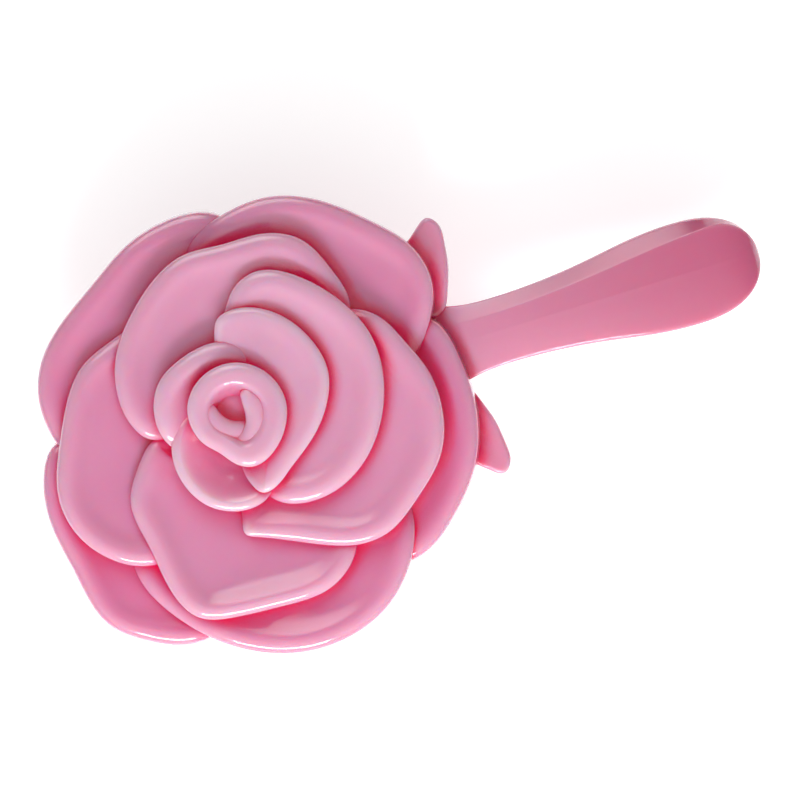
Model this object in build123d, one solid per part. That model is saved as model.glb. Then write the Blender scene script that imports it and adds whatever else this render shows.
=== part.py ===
from build123d import *
import os
from math import cos, floor, hypot, radians, sin, sqrt

# Round air-cushion hairbrush whose back is one large open rose, in moulded plastic.
# Millimetres. The origin is the middle of the round head at the level of the pin tips.
# +X runs along the handle and +Z points from the pins to the rose.

# ---- driving dimensions: heights above the pin tips
FACE_Z = 15.2           # pin face of the rubber cushion
RING_Z = 18.6           # lower faces of the retaining ring and the tray wall
CLAMP_Z = 21.0          # the ring presses the cushion's flange here
LEDGE_Z = 21.9          # against this ledge in the tray
TRAY_FLOOR_Z = 26.0     # underside of the tray floor
SEAM_Z = 28.0           # back shell meets front shell, on the head and along the handle
PLATE_Z = 31.0          # head plate meets rose cover

# ---- driving dimensions: radii of the round head
HEAD_R = 50.0
TRAY_R = 47.9           # inside of the tray wall, outside of the ring
LEDGE_R = 44.3
RING_BORE_R = 44.0
FACE_R = 40.0           # face of the cushion that carries the pins
SKIRT_GAP = 0.25        # between that face and the skirt round it
SKIRT_TOP_R = 42.5      # inside of the skirt at the ledge
FLANGE_BORE_R = 43.6    # outside of the skirt where it meets its flange
FLANGE_R = 47.6

SKIRT_BULGE = (42.7, 17.2)      # radius and height that the outside of the skirt passes through
EDGE_BREAK = 0.8        # rounding or bevel on the rims of the head and the ring

# ---- driving dimensions: cushion and pins
RUBBER = 1.2
FACE_PAD = 2.4          # the face is thicker, to hold the pins
PIN_PITCH = 4.0
PIN_FIELD_R = 38.2
PIN_ROOT_R = 0.75       # corner radius of the shank in the rubber
PIN_TIP_R = 0.5
PIN_BURIED = 0.5        # how far a shank runs into the rubber
ROWS_PER_STRIP = 2

# ---- driving dimensions: handle
HANDLE_START_X = 40.0
HANDLE_TIP_X = 137.2
HANDLE_BACK_Z = 21.4
HANDLE_SIDE = [(50.0, 11.4), (56.0, 9.8), (68.0, 9.0), (80.0, 9.6), (92.0, 11.0), (104.0, 12.9),
               (117.0, 13.8), (127.0, 12.5), (134.0, 8.2)]
HANDLE_ROOT_HALF_WIDTH = 14.6
HANDLE_FRONT = [(58.0, 31.2), (68.0, 34.0), (92.0, 35.0), (120.0, 34.8), (140.0, 33.0)]
FRONT_BLANK = 9.0       # height of the bar that the front half is cut from
BACK_ROUNDING = 4.5
FRONT_SHOULDER = 2.4
POST_R = 2.0
POST_LENGTH = 3.6
POST_XS = (72.0, 116.0)
POST_SIDE_GAP = 0.1
POST_END_GAP = 0.4

# ---- driving dimensions: screws and the locating rim under the rose
SCREW_CIRCLE_R = 20.0
SCREW_ANGLES = (0, 120, 240)
SCREW_SHANK_R = 1.4
SCREW_HEAD_R = 2.9
SCREW_HEAD = 1.8
SCREW_REACH_Z = 36.2
SCREW_GAP = 0.2
BOSS_R = 3.6
CAVITY_R = 36.0
CAVITY_CEILING = [(36.0, 2.6), (23.0, 3.2), (18.0, 8.0), (0.0, 8.4)]    # radius, height above the plate
RIM_GAP = 0.3
RIM_WIDTH = 1.8
RIM_HEIGHT = 2.0

# ---- driving dimensions: the rose
# A petal is given by the crest of its lip, as (angle in degrees round the heart of the rose,
# distance from the heart, height above the head plate), and by the lowest point of its dish.
# The low crest points of each petal lie under the petals above it.
HEART = (-6.8, -1.1)
LIP = 3.0               # width of the rounded lip
LIP_FALL = 0.6          # from the crest to its inner edge
WALL_FALL = 1.7         # from the crest to the top of the outer wall
WALL_DRAFT = 0.5
DISH_FLOOR = 0.12       # share of the petal's plan that is flat at the bottom of its dish
ROSE_BASE_R = 47.0
ROSE_BASE = 2.6

OUTER_PETALS = {
    "south_west": ([(173, 50.0, 4.8), (184, 55.2, 5.4), (198, 58.2, 5.7), (207, 60.1, 5.8), (215, 63.3, 5.8),
                    (222, 65.2, 5.8), (230, 64.4, 5.8), (240, 62.2, 5.5), (247, 58, 4.8), (250, 42, 3.4),
                    (225, 22, 2.8), (185, 30, 2.8)], (215, 40, 4.0)),
    "north_west": ([(72, 47.5, 4.8), (79, 52.9, 5.8), (95, 54.5, 6.2), (107, 53.5, 6.4), (120, 51.7, 6.4),
                    (133, 52.3, 6.3), (148, 53.9, 6.2), (158, 53.1, 6.1), (168, 50.2, 5.9), (176, 46.5, 5.4),
                    (182, 38, 4.2), (150, 20, 3.2), (85, 24, 3.2)], (125, 31, 4.2)),
    "east": ([(14, 50, 4.6), (9, 56.9, 5.5), (358, 60.1, 6.0), (345, 62.6, 6.2), (332, 63.8, 6.2),
              (318, 62.7, 6.0), (305, 60.6, 5.6), (296, 54, 4.4), (300, 30, 3.2), (345, 25, 3.2),
              (10, 36, 3.6)], (332, 42, 4.2)),
    "north": ([(91, 44.9, 6.4), (85, 49.5, 7.0), (77, 53.2, 7.5), (66, 57.7, 7.8), (52, 60.4, 8.0),
               (38, 61.9, 8.1), (27, 63.6, 8.1), (17, 61.5, 7.9), (9, 56, 7.4), (3, 50.5, 6.8),
               (356, 40, 5.2), (10, 22, 4.2), (60, 20, 4.2), (95, 32, 5.0)], (48, 36, 5.6)),
    "south": ([(214, 45, 6.0), (220.5, 50, 7.0), (231, 54.3, 7.6), (244, 58.6, 8.0), (256, 62.2, 8.2),
               (267, 64.6, 8.3), (279, 65.4, 8.3), (291, 63.9, 8.2), (302, 59.8, 8.0), (312, 54, 7.4),
               (318, 48, 6.4), (318, 36, 5.0), (280, 22, 4.2), (232, 26, 4.6)], (268, 40, 5.6)),
}
MIDDLE_PETALS = {
    "west": ([(124, 36, 8.2), (133, 38.8, 9.2), (146, 43.2, 9.8), (159, 45.4, 10.2), (173, 47.9, 10.4),
              (186, 51.8, 10.5), (198, 53.1, 10.5), (210, 51.3, 10.4), (222, 46.6, 10.0),
              (229, 41, 9.0), (232, 30, 7.4), (200, 15, 6.4), (140, 20, 6.8)], (185, 22, 7.6)),
    "south": ([(179, 22.5, 10.6), (190, 29.5, 11.4), (203, 37, 11.9), (219, 42, 12.1), (231, 49, 12.2),
               (242, 54.4, 12.3), (252, 53.4, 12.3), (266, 51.8, 12.2), (280, 51.8, 12.0),
               (291, 48.8, 11.4), (298, 44, 10.2), (300, 34, 8.8), (270, 17, 7.8), (205, 14, 8.4)],
              (242, 22, 9.0)),
    "north_west": ([(20, 35, 10.6), (28, 41.5, 12.0), (40, 45.3, 12.6), (54, 49, 13.0), (66, 47.9, 13.1),
                    (79, 44.9, 13.0), (92, 44.4, 12.9), (104, 42.2, 12.9), (119, 38.8, 12.9),
                    (137, 35.8, 12.9), (155, 32, 12.8), (168, 28.6, 12.6), (178, 24.7, 12.2),
                    (182, 20, 11.2), (170, 12, 9.6), (110, 11, 8.8), (45, 17, 8.8)], (94, 18, 9.8)),
    "east": ([(31, 35, 11.0), (26, 40.8, 12.2), (17, 45.4, 12.8), (7, 47.8, 13.0), (357, 51, 13.2),
              (345, 53.6, 13.3), (332, 54.3, 13.3), (318, 52, 13.3), (304, 50, 13.3), (296, 46.4, 13.2),
              (285, 39.6, 13.1), (270, 34, 12.9), (259, 31.6, 12.5), (254, 27, 11.8), (252, 18, 9.8),
              (310, 9, 8.8), (20, 18, 9.2)], (325, 28, 10.2)),
}
INNER_PETALS = {
    "east": ([(85, 23, 13.8), (79.5, 28.5, 15.2), (76, 32.5, 15.8), (66, 37.9, 16.2), (50, 39.6, 16.4),
              (32, 40.2, 16.5), (15, 40.7, 16.5), (357, 39.4, 16.5), (340, 37.5, 16.5),
              (322, 35.3, 16.4), (306, 32.7, 16.3), (292, 29.6, 16.1), (279, 25.6, 15.4),
              (269, 20, 14.0), (250, 9, 12.2), (95, 9, 12.2)], (10, 18, 13.8)),
    "south_west": ([(154, 12, 14.4), (166, 15.4, 15.8), (184, 18.7, 16.4), (200, 21.2, 16.6),
                    (217, 23.5, 16.7), (234, 25.2, 16.7), (250, 25.5, 16.7), (266, 24.4, 16.4),
                    (277, 22, 15.2), (286, 13, 13.6), (255, 5, 12.8), (160, 6, 13.2)], (225, 9.5, 13.6)),
    "north_west": ([(45, 12, 15.0), (57, 15.4, 16.4), (75, 18.7, 17.0), (91, 19.9, 17.2),
                    (107, 20.5, 17.3), (122, 21.2, 17.3), (137, 22.3, 17.3), (152, 22.5, 17.2),
                    (168, 21.8, 16.9), (183, 20.4, 16.2), (195, 18, 14.8), (207, 11, 13.8),
                    (215, 5, 13.2), (40, 4, 13.6)], (125, 10, 14.6)),
    "south_east": ([(96, 16, 14.8), (90, 21.4, 16.2), (86, 25.4, 16.8), (77, 27.5, 17.3),
                    (62, 28.5, 17.8), (46, 28.3, 18.2), (28, 27.5, 18.4), (9, 26.3, 18.5),
                    (352, 23.8, 18.6), (334, 21.4, 18.6), (315, 19.8, 18.6), (297, 19.8, 18.6),
                    (281, 21.4, 18.5), (271, 21.6, 18.1), (264, 18.8, 17.2), (256, 13, 15.6),
                    (245, 6, 14.2), (115, 5, 14.0)], (15, 11, 16.0)),
}
BUD_RING = ([(155, 13.4, 20.8), (121, 13.7, 21.0), (80, 13.7, 21.2), (40, 13.4, 21.3), (357, 13.1, 21.4),
             (334, 12.9, 21.5), (302, 13.4, 21.6), (268, 14.2, 21.6), (248, 12.7, 21.5),
             (228, 11.2, 21.3), (206, 11.7, 21.0), (180, 12.6, 20.8)], (150, 3.2, 13.0))
BUD_TURNS = {           # outlines in angle and distance, with the height of their tops
    "turn": ([(70, 5.8), (57, 7.2), (37, 7.6), (12, 7.4), (345, 7.1), (318, 7.3), (291, 7.9), (271, 8.2),
              (251, 8.2), (230, 8.1), (217, 7.4), (226, 6.3), (247, 5.3), (273, 4.1), (303, 2.6),
              (1, 1.9), (54, 3.5)], 20.2),
    "tongue": ([(148, 8.5), (169, 8.3), (192, 7.8), (216, 6.9), (242, 5.6), (270, 4.4), (293, 2.2),
                (188, 1.5), (154, 3.8), (137, 6.0), (135, 7.6)], 18.8),
}
TURN_FOOT = 9.0
BUD_LIP = 3.6
BUD_LIP_FALL = 2.6
BUD_ROUNDING = 0.8

# Outline of a sepal in X and Y, from the neck round its point and back under the rose. The pair
# is mirrored about the handle and stands a little to the -Y side of it.
SEPAL = [(53.0, 10.6), (55.4, 15.0), (57.4, 21.0), (58.4, 28.0), (57.9, 33.4), (55.8, 35.2),
         (52.4, 33.4), (47.0, 28.6), (43.0, 20.0), (44.0, 10.6)]
SEPAL_SPINE = (52.5, 23.0)
SEPAL_THICK = 2.9
SEPAL_DISH = 1.2        # how far its face falls to the spine
SEPAL_LIP = 1.4
SEPAL_LIP_FALL = 0.5
SEPAL_SHIFT_Y = -1.1


def rose_point(angle, distance):
    """X and Y of a point given round the heart of the rose."""
    return (HEART[0] + distance * cos(radians(angle)), HEART[1] + distance * sin(radians(angle)))


def inset(curve, distance):
    """Move the (x, y, height) points of a closed curve inward by a distance in plan."""
    turned = [(x1 * y2 - x2 * y1) for (x1, y1, _), (x2, y2, _) in zip(curve, curve[1:] + curve[:1])]
    inward = distance if sum(turned) > 0 else -distance
    moved = []
    for before, (x, y, height), after in zip(curve[-1:] + curve[:-1], curve, curve[1:] + curve[:1]):
        dx, dy = after[0] - before[0], after[1] - before[1]
        moved.append((x - dy / hypot(dx, dy) * inward, y + dx / hypot(dx, dy) * inward, height))
    return moved


def section(curve):
    """A smooth closed section through the points of a curve."""
    return Wire([Edge.make_spline(curve, periodic=True)])


def dished_leaf(crest, lowest, base_z, lip, lip_fall):
    """A solid leaf on a flat foot: drafted wall, rounded lip, and a dish that falls to its lowest point.

    crest holds (x, y, height) points of a closed curve, lowest is (x, y, height)."""
    foot = [(x, y, base_z) for x, y, _ in inset(crest, -WALL_DRAFT)]
    wall_top = [(x, y, base_z + height - WALL_FALL) for x, y, height in crest]
    lip_top = [(x, y, base_z + height) for x, y, height in inset(crest, 0.4 * lip)]
    lip_end = [(x, y, base_z + height - lip_fall) for x, y, height in inset(crest, lip)]
    low_x, low_y, low = lowest
    dish = [(low_x + DISH_FLOOR * (x - low_x), low_y + DISH_FLOOR * (y - low_y), base_z + low)
            for x, y, _ in lip_end]
    return Solid.make_loft([section(curve) for curve in (foot, wall_top, lip_top, lip_end, dish)], ruled=True)


def petal(crest, lowest, lip=LIP, lip_fall=LIP_FALL):
    """One petal of the rose, from its table row."""
    points = [(*rose_point(angle, distance), height) for angle, distance, height in crest]
    return dished_leaf(points, (*rose_point(*lowest[:2]), lowest[2]), PLATE_Z, lip, lip_fall)


def bud_turn(outline, height):
    """An inner turn of the bud: an upright curl with a rounded top."""
    top = [(*rose_point(*point), PLATE_Z + height) for point in outline]
    foot = [(x, y, PLATE_Z + TURN_FOOT) for x, y, _ in top]
    shoulder = [(x, y, z - BUD_ROUNDING) for x, y, z in top]
    return Solid.make_loft([section(curve) for curve in (foot, shoulder, inset(top, BUD_ROUNDING))], ruled=True)


def turned_body(*profile):
    """Revolve a closed profile of (radius, z) corners about the axis of the head."""
    outline = Polyline(*[(radius, 0, z) for radius, z in profile], close=True)
    return revolve(make_face(outline), Axis.Z)


def upright(radius, low, high, x=0.0, y=0.0):
    """A round bar along Z between two heights."""
    return Location((x, y, low)) * extrude(Circle(radius), high - low)


def screw_places():
    """X and Y of each screw between tray and rose."""
    return [(SCREW_CIRCLE_R * cos(radians(a)), SCREW_CIRCLE_R * sin(radians(a))) for a in SCREW_ANGLES]


def rose_cover():
    """The rose, moulded in one piece over a stepped cavity with screw bosses."""
    petals = [petal(*row) for group in (OUTER_PETALS, MIDDLE_PETALS, INNER_PETALS) for row in group.values()]
    petals.append(petal(*BUD_RING, BUD_LIP, BUD_LIP_FALL))
    turns = [bud_turn(*row) for row in BUD_TURNS.values()]
    relief = upright(ROSE_BASE_R, PLATE_Z, PLATE_Z + ROSE_BASE).fuse(*petals, *turns)
    ceiling = [(radius, PLATE_Z + height) for radius, height in CAVITY_CEILING]
    cavity = turned_body((0, PLATE_Z), (CAVITY_R, PLATE_Z), *ceiling)
    for x, y in screw_places():
        cavity -= upright(BOSS_R, PLATE_Z, ceiling[-1][1], x, y)
    relief -= cavity
    for x, y in screw_places():
        relief -= upright(SCREW_SHANK_R, PLATE_Z, SCREW_REACH_Z, x, y)
    return relief


def handle_outline():
    """Plan of the neck and handle, straight across where it enters the head."""
    tip = (HANDLE_TIP_X, 0)
    start = (HANDLE_START_X, HANDLE_ROOT_HALF_WIDTH)
    side = Spline(start, *HANDLE_SIDE, tip, tangents=[(1, -0.3), (0, -1)])
    across = Line((start[0], -start[1]), start)
    return make_face([side, mirror(side, Plane.XZ), across])


def handle_front():
    """Front half of the handle: its face dips under the rose, and a shoulder runs along its edge."""
    bar = Location((0, 0, SEAM_Z)) * extrude(handle_outline(), FRONT_BLANK)
    crest = Spline(*[(x, 0, z) for x, z in HANDLE_FRONT], tangents=[(1, 0, 0.1), (1, 0, -0.1)])
    first, last = HANDLE_FRONT[0], HANDLE_FRONT[-1]
    rest = Polyline((last[0], 0, last[1]), (last[0], 0, SEAM_Z), (HANDLE_START_X - 1, 0, SEAM_Z),
                    (HANDLE_START_X - 1, 0, PLATE_Z), (first[0] - 2, 0, PLATE_Z), (first[0], 0, first[1]))
    side_view = extrude(make_face([crest, rest]), 20, both=True)
    bar = bar & side_view
    top = [e for e in bar.edges() if e.bounding_box().min.Z > PLATE_Z + 0.1 and e.center().X > first[0] + 4]
    return chamfer(top, FRONT_SHOULDER)


def handle_back():
    """Back half of the handle, with a well rounded edge for the fingers."""
    bar = Location((0, 0, HANDLE_BACK_Z)) * extrude(handle_outline(), SEAM_Z - HANDLE_BACK_Z)
    low = [e for e in bar.edges() if e.bounding_box().max.Z < HANDLE_BACK_Z + 0.1
           and e.center().X > HANDLE_START_X + 1]
    return fillet(low, BACK_ROUNDING)


def front_shell():
    """Head plate, front half of the handle and the two sepals, with the rim that locates the rose."""
    shell = turned_body((0, SEAM_Z), (HEAD_R, SEAM_Z), (HEAD_R, PLATE_Z - EDGE_BREAK),
                        (HEAD_R - EDGE_BREAK, PLATE_Z), (0, PLATE_Z))
    rim_r = CAVITY_R - RIM_GAP
    rim = turned_body((rim_r - RIM_WIDTH, PLATE_Z), (rim_r, PLATE_Z), (rim_r, PLATE_Z + RIM_HEIGHT),
                      (rim_r - RIM_WIDTH, PLATE_Z + RIM_HEIGHT))
    leaf_points = [(x, y, SEPAL_THICK) for x, y in SEPAL]
    sepal = dished_leaf(leaf_points, (*SEPAL_SPINE, SEPAL_THICK - SEPAL_DISH), SEAM_Z, SEPAL_LIP,
                        SEPAL_LIP_FALL)
    pair = [leaf.moved(Location((0, SEPAL_SHIFT_Y, 0))) for leaf in (sepal, mirror(sepal, Plane.XZ))]
    shell = shell.fuse(rim, handle_front(), *pair)
    for x in POST_XS:
        shell += upright(POST_R, SEAM_Z - POST_LENGTH, SEAM_Z, x)
    for x, y in screw_places():
        shell -= upright(SCREW_SHANK_R + SCREW_GAP, SEAM_Z, PLATE_Z, x, y)
    return shell


def back_shell():
    """Tray behind the cushion and the back half of the handle."""
    tray = turned_body((0, TRAY_FLOOR_Z), (LEDGE_R, TRAY_FLOOR_Z), (LEDGE_R, LEDGE_Z), (TRAY_R, LEDGE_Z),
                       (TRAY_R, RING_Z), (HEAD_R - EDGE_BREAK, RING_Z), (HEAD_R, RING_Z + EDGE_BREAK),
                       (HEAD_R, SEAM_Z), (0, SEAM_Z))
    handle = handle_back() - upright(HEAD_R - 1, HANDLE_BACK_Z - 1, SEAM_Z + 1)
    shell = tray + handle
    for x in POST_XS:
        shell -= upright(POST_R + POST_SIDE_GAP, SEAM_Z - POST_LENGTH - POST_END_GAP, SEAM_Z, x)
    for x, y in screw_places():
        shell -= upright(SCREW_SHANK_R + SCREW_GAP, TRAY_FLOOR_Z, SEAM_Z, x, y)
    return shell


def retaining_ring():
    """Snap ring that clamps the cushion's flange against the ledge."""
    return turned_body((RING_BORE_R, RING_Z + EDGE_BREAK), (RING_BORE_R + EDGE_BREAK, RING_Z),
                       (TRAY_R, RING_Z), (TRAY_R, CLAMP_Z), (RING_BORE_R, CLAMP_Z))


def cushion_skirt():
    """Flexing edge of the rubber cushion, from its clamped flange down to the pin face."""
    inner = FACE_R + SKIRT_GAP
    outer_curve = ThreePointArc((inner, 0, FACE_Z), (SKIRT_BULGE[0], 0, SKIRT_BULGE[1]), (FLANGE_BORE_R, 0, CLAMP_Z))
    inside = Polyline((FLANGE_BORE_R, 0, CLAMP_Z), (FLANGE_R, 0, CLAMP_Z), (FLANGE_R, 0, LEDGE_Z),
                      (SKIRT_TOP_R, 0, LEDGE_Z), (inner, 0, FACE_Z + RUBBER), (inner, 0, FACE_Z))
    return revolve(make_face([outer_curve, inside]), Axis.Z)


def pin_shank():
    """One three-sided tapered pin, standing on its tip at the origin."""
    tip, root = (RegularPolygon(radius, 3, major_radius=True).wire() for radius in (PIN_TIP_R, PIN_ROOT_R))
    return Solid.make_loft([tip, root.moved(Location((0, 0, FACE_Z + PIN_BURIED)))])


def pin_strips():
    """The cushion face cut into slices, each fused with its rows of pins in a hexagonal field."""
    row_step = PIN_PITCH * sqrt(3) / 2
    half_rows = floor(PIN_FIELD_R / row_step)
    rows = list(range(-half_rows, half_rows + 1))
    groups = [rows[i:i + ROWS_PER_STRIP] for i in range(0, len(rows), ROWS_PER_STRIP)]
    face = upright(FACE_R, FACE_Z, FACE_Z + FACE_PAD)
    shank = pin_shank()
    strips, count = [], 0
    for group in groups:
        low = -FACE_R if group is groups[0] else (group[0] - 0.5) * row_step
        high = FACE_R if group is groups[-1] else (group[-1] + 0.5) * row_step
        slice_box = Location((0, (low + high) / 2, FACE_Z)) * Box(2 * FACE_R + 2, high - low, 4 * FACE_PAD)
        pins = []
        for row in group:
            y = row * row_step
            shift = 0.5 * PIN_PITCH * (row % 2)
            reach = sqrt(PIN_FIELD_R ** 2 - y ** 2)
            steps = range(-floor((reach + shift) / PIN_PITCH), floor((reach - shift) / PIN_PITCH) + 1)
            pins += [shank.moved(Location((shift + step * PIN_PITCH, y, 0))) for step in steps]
        count += len(pins)
        strips.append((face & slice_box).fuse(*pins))
    print("pins:", count)
    return strips


def cover_screws():
    """Pan-head screws from inside the tray, through the head plate, into the rose."""
    screws = []
    for x, y in screw_places():
        head = upright(SCREW_HEAD_R, TRAY_FLOOR_Z - SCREW_HEAD, TRAY_FLOOR_Z, x, y)
        screws.append(head + upright(SCREW_SHANK_R, TRAY_FLOOR_Z, SCREW_REACH_Z, x, y))
    return Compound(children=screws)


os.makedirs("parts", exist_ok=True)
nodes = {
    "rose_cover": rose_cover(),
    "front_shell": front_shell(),
    "back_shell": back_shell(),
    "retaining_ring": retaining_ring(),
    "cushion_skirt": cushion_skirt(),
    "cover_screws": cover_screws(),
}
for number, strip in enumerate(pin_strips(), start=1):
    nodes[f"pin_strip_{number:02d}"] = strip
for name, solid in nodes.items():
    export_step(solid, f"parts/{name}.step")
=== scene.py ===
import bpy
import bmesh
import numpy as np
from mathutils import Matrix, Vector


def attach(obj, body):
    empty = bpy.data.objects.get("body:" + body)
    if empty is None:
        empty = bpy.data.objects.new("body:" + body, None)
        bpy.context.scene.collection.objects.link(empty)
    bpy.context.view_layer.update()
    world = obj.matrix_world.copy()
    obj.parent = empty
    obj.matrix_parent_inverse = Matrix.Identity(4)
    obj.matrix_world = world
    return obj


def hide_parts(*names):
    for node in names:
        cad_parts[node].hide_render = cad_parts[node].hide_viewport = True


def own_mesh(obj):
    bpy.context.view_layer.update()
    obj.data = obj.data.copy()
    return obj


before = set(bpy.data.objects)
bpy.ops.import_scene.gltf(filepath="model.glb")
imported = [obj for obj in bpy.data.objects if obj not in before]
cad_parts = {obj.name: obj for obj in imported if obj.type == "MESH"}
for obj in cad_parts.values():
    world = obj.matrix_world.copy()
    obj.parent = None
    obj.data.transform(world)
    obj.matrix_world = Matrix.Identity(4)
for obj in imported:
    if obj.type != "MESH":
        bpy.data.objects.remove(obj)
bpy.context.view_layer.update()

# ---------------------------------------------------------------------------------------------
# The rose: one moulding of thirteen petals round a bud, injection moulded in pink ABS and left
# as polished as the mould. Each petal is a grid that runs from its foot up the outer wall, over
# the rolled lip and down its dish to one low point. The petals are then united into one skin.
# ---------------------------------------------------------------------------------------------
MM = 0.001                  # the values below are millimetres, and meshes are metres
PLATE_Z = 31.0              # head plate, which the rose stands on
HEART = np.array([-6.8, -1.1])
AROUND = 208                # points round a petal
WALL_ROWS, ROLL_ROWS, DISH_ROWS = 4, 8, 20
ROW_CROWDING = 1.5          # power that crowds the rows of a dish towards its lip
WALL_DRAFT = 0.5            # how far the foot of a wall stands outside its top
LIP_ROLL = 3.1              # how wide the outer side of the lip rolls over
ROLL_DEPTH = 0.55           # and how deep, as a share of that width
LIP_BEAD = 2.4              # how far the inner side of the lip reaches
LIP_FALL = 1.1              # how far it falls
LIP_BLEND = 1.0             # over what distance two lips that meet at a tip blend
TIP_BEND = 0.75             # widest roll at a tip, as a share of the radius of its bend
TIP_REACH = 7               # points on each side of a tip over which the roll narrows
TIP_SOFTNESS = 7.0          # points of the outline over which a tip is smoothed
SOFT_BY = 0.6               # share of the way in by which the outline is the smoothed one

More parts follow.
